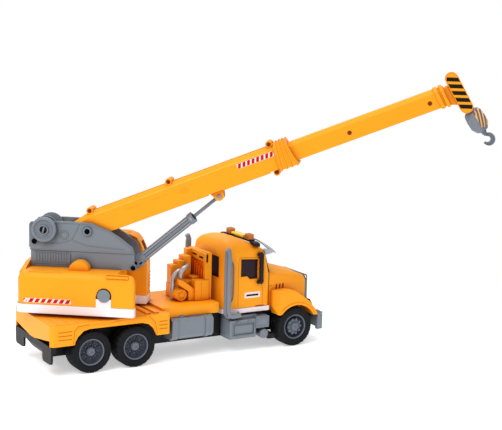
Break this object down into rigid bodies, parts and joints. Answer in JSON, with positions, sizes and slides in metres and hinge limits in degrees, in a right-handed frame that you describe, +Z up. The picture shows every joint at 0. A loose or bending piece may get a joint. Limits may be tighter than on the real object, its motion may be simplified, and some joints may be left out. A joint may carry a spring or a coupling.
{
  "type": "toy crane truck",
  "caption": "Toy lorry with a bonneted cab and a slewing telescopic crane on its rear deck, with rolling wheels, lifting cylinder, winch and tilting hook block.",
  "frame": {"origin": "on the crane's swing axis, at the flat underside of the chassis frame; the floor is 20 mm below", "axes": "+X towards the truck's front, +Y towards its left side, +Z up"},
  "size_m": [0.5326, 0.4214, 0.4123],
  "materials": {
    "orange_plastic": "moulded, slight gloss",
    "grey_plastic": "moulded, satin",
    "black_plastic": "moulded, satin",
    "white_plastic": "moulded, slight gloss",
    "tyre_rubber": "matte",
    "rim_plastic": "moulded, satin",
    "smoked_window": "dark tinted, glossy",
    "amber_lens": "tinted, glossy",
    "yellow_lens": "tinted, glossy",
    "chrome_plastic": "vacuum plated",
    "silver_paint": "silver paint on plastic",
    "steel": "bright",
    "rope_cord": "twisted cord"
  },
  "bodies": {
    "chassis": {"chassis_frame": "black_plastic", "rear_deck": "orange_plastic", "fuel_tank_left": "grey_plastic", "fuel_tank_right": "grey_plastic", "tool_box_left": "grey_plastic", "tool_box_right": "grey_plastic", "bumper": "grey_plastic", "truck_cab": "orange_plastic", "cab_windows": "smoked_window", "cab_sill_trim": "white_plastic", "hood": "orange_plastic", "grille": "grey_plastic", "sun_visor": "chrome_plastic", "light_bar": "black_plastic", "beacon_left": "amber_lens", "beacon_right": "amber_lens", "exhaust_stack_left": "grey_plastic", "exhaust_stack_right": "grey_plastic", "door_mirror_left": "black_plastic", "door_mirror_right": "black_plastic", "engine_unit": "orange_plastic", "engine_pipe": "silver_paint"},
    "roof_button": {"roof_button": "yellow_lens"},
    "front_axle": {"front_axle_rod": "steel", "front_tyre_left": "tyre_rubber", "front_tyre_right": "tyre_rubber", "front_rim_left": "rim_plastic", "front_rim_right": "rim_plastic"},
    "middle_axle": {"middle_axle_rod": "steel", "middle_tyre_left": "tyre_rubber", "middle_tyre_right": "tyre_rubber", "middle_rim_left": "rim_plastic", "middle_rim_right": "rim_plastic"},
    "rear_axle": {"rear_axle_rod": "steel", "rear_tyre_left": "tyre_rubber", "rear_tyre_right": "tyre_rubber", "rear_rim_left": "rim_plastic", "rear_rim_right": "rim_plastic"},
    "house": {"house_base": "white_plastic", "house_shell": "orange_plastic", "side_cap": "grey_plastic", "crane_cab": "orange_plastic", "crane_cab_windows": "smoked_window", "side_plate_left": "grey_plastic", "side_plate_right": "grey_plastic", "boom_pivot_pin": "steel"},
    "winch": {"winch_drum": "grey_plastic", "winch_knob": "grey_plastic"},
    "boom": {"boom_shell": "orange_plastic", "boom_collar": "orange_plastic"},
    "extension": {"extension_shell": "orange_plastic", "head_plate_left": "orange_plastic", "head_plate_right": "orange_plastic"},
    "cylinder_rod": {"cylinder_rod": "grey_plastic"},
    "cylinder_barrel": {"cylinder_barrel": "grey_plastic"},
    "head_pulley": {"head_pulley": "black_plastic"},
    "rope_fall": {"hoist_rope": "rope_cord"},
    "hoist_line": {"rope_knot": "rope_cord"},
    "hook_block": {"hook_block": "grey_plastic"},
    "hook": {"hook": "grey_plastic"}
  },
  "joints": [
    {"name": "button_press", "type": "slide", "parent": "chassis", "child": "roof_button", "axis": [0, 0, -1], "range_m": [0, 0.0015]},
    {"name": "front_wheels_roll", "type": "hinge", "parent": "chassis", "child": "front_axle", "pos_m": [0.2889, 0, 0.009], "axis": [0, 1, 0], "continuous": true},
    {"name": "middle_wheels_roll", "type": "hinge", "parent": "chassis", "child": "middle_axle", "pos_m": [0.0322, 0, 0.009], "axis": [0, 1, 0], "continuous": true},
    {"name": "rear_wheels_roll", "type": "hinge", "parent": "chassis", "child": "rear_axle", "pos_m": [-0.033, 0, 0.009], "axis": [0, 1, 0], "continuous": true},
    {"name": "swing", "type": "hinge", "parent": "chassis", "child": "house", "pos_m": [0, 0, 0], "axis": [0, 0, 1], "continuous": true},
    {"name": "boom_lift", "type": "hinge", "parent": "house", "child": "boom", "pos_m": [-0.00559, 0.00421, 0.1635], "axis": [-0.6018, -0.7986, 0], "range_deg": [-14, 28]},
    {"name": "cylinder_hinge", "type": "hinge", "parent": "boom", "child": "cylinder_rod", "pos_m": [0.13589, -0.1024, 0.21724], "axis": [-0.6018, -0.7986, 0], "range_deg": [-3, 3]},
    {"name": "cylinder_slide", "type": "slide", "parent": "cylinder_rod", "child": "cylinder_barrel", "axis": [-0.6044, 0.4554, -0.6537], "range_m": [-0.021, 0.041]},
    {"name": "boom_extend", "type": "slide", "parent": "boom", "child": "extension", "axis": [0.7389, -0.5568, 0.3795], "range_m": [-0.185, 0]},
    {"name": "pulley_turn", "type": "hinge", "parent": "extension", "child": "head_pulley", "pos_m": [0.39244, -0.29572, 0.34953], "axis": [0.6018, 0.7986, 0], "range_deg": [-5, 450]},
    {"name": "rope_level", "type": "hinge", "parent": "extension", "child": "rope_fall", "pos_m": [0.39244, -0.29572, 0.34953], "axis": [-0.6018, -0.7986, 0], "range_deg": [-29, 15]},
    {"name": "hoist", "type": "slide", "parent": "rope_fall", "child": "hoist_line", "axis": [0, 0, -1], "range_m": [0, 0.07]},
    {"name": "block_tilt", "type": "hinge", "parent": "hoist_line", "child": "hook_block", "pos_m": [0.39963, -0.30114, 0.34013], "axis": [0.6018, 0.7986, 0], "range_deg": [-1, 35]},
    {"name": "hook_swivel", "type": "hinge", "parent": "hook_block", "child": "hook", "pos_m": [0.41173, -0.31026, 0.31766], "axis": [-0.4466, 0.3365, 0.829], "continuous": true},
    {"name": "winch_turn", "type": "hinge", "parent": "house", "child": "winch", "pos_m": [-0.05271, 0.03972, 0.1643], "axis": [0.6018, 0.7986, 0], "range_deg": [-5, 450]}
  ],
  "couplings": [
    {"joint": "cylinder_hinge", "follows": "boom_lift", "ratio": 0.045},
    {"joint": "cylinder_slide", "follows": "boom_lift", "m_per_rad": 0.075},
    {"joint": "rope_level", "follows": "boom_lift", "ratio": -1},
    {"joint": "pulley_turn", "follows": "hoist", "rad_per_m": 111.11},
    {"joint": "winch_turn", "follows": "hoist", "rad_per_m": 111.11},
    {"joint": "block_tilt", "follows": "hoist", "rad_per_m": 8.4773}
  ]
}
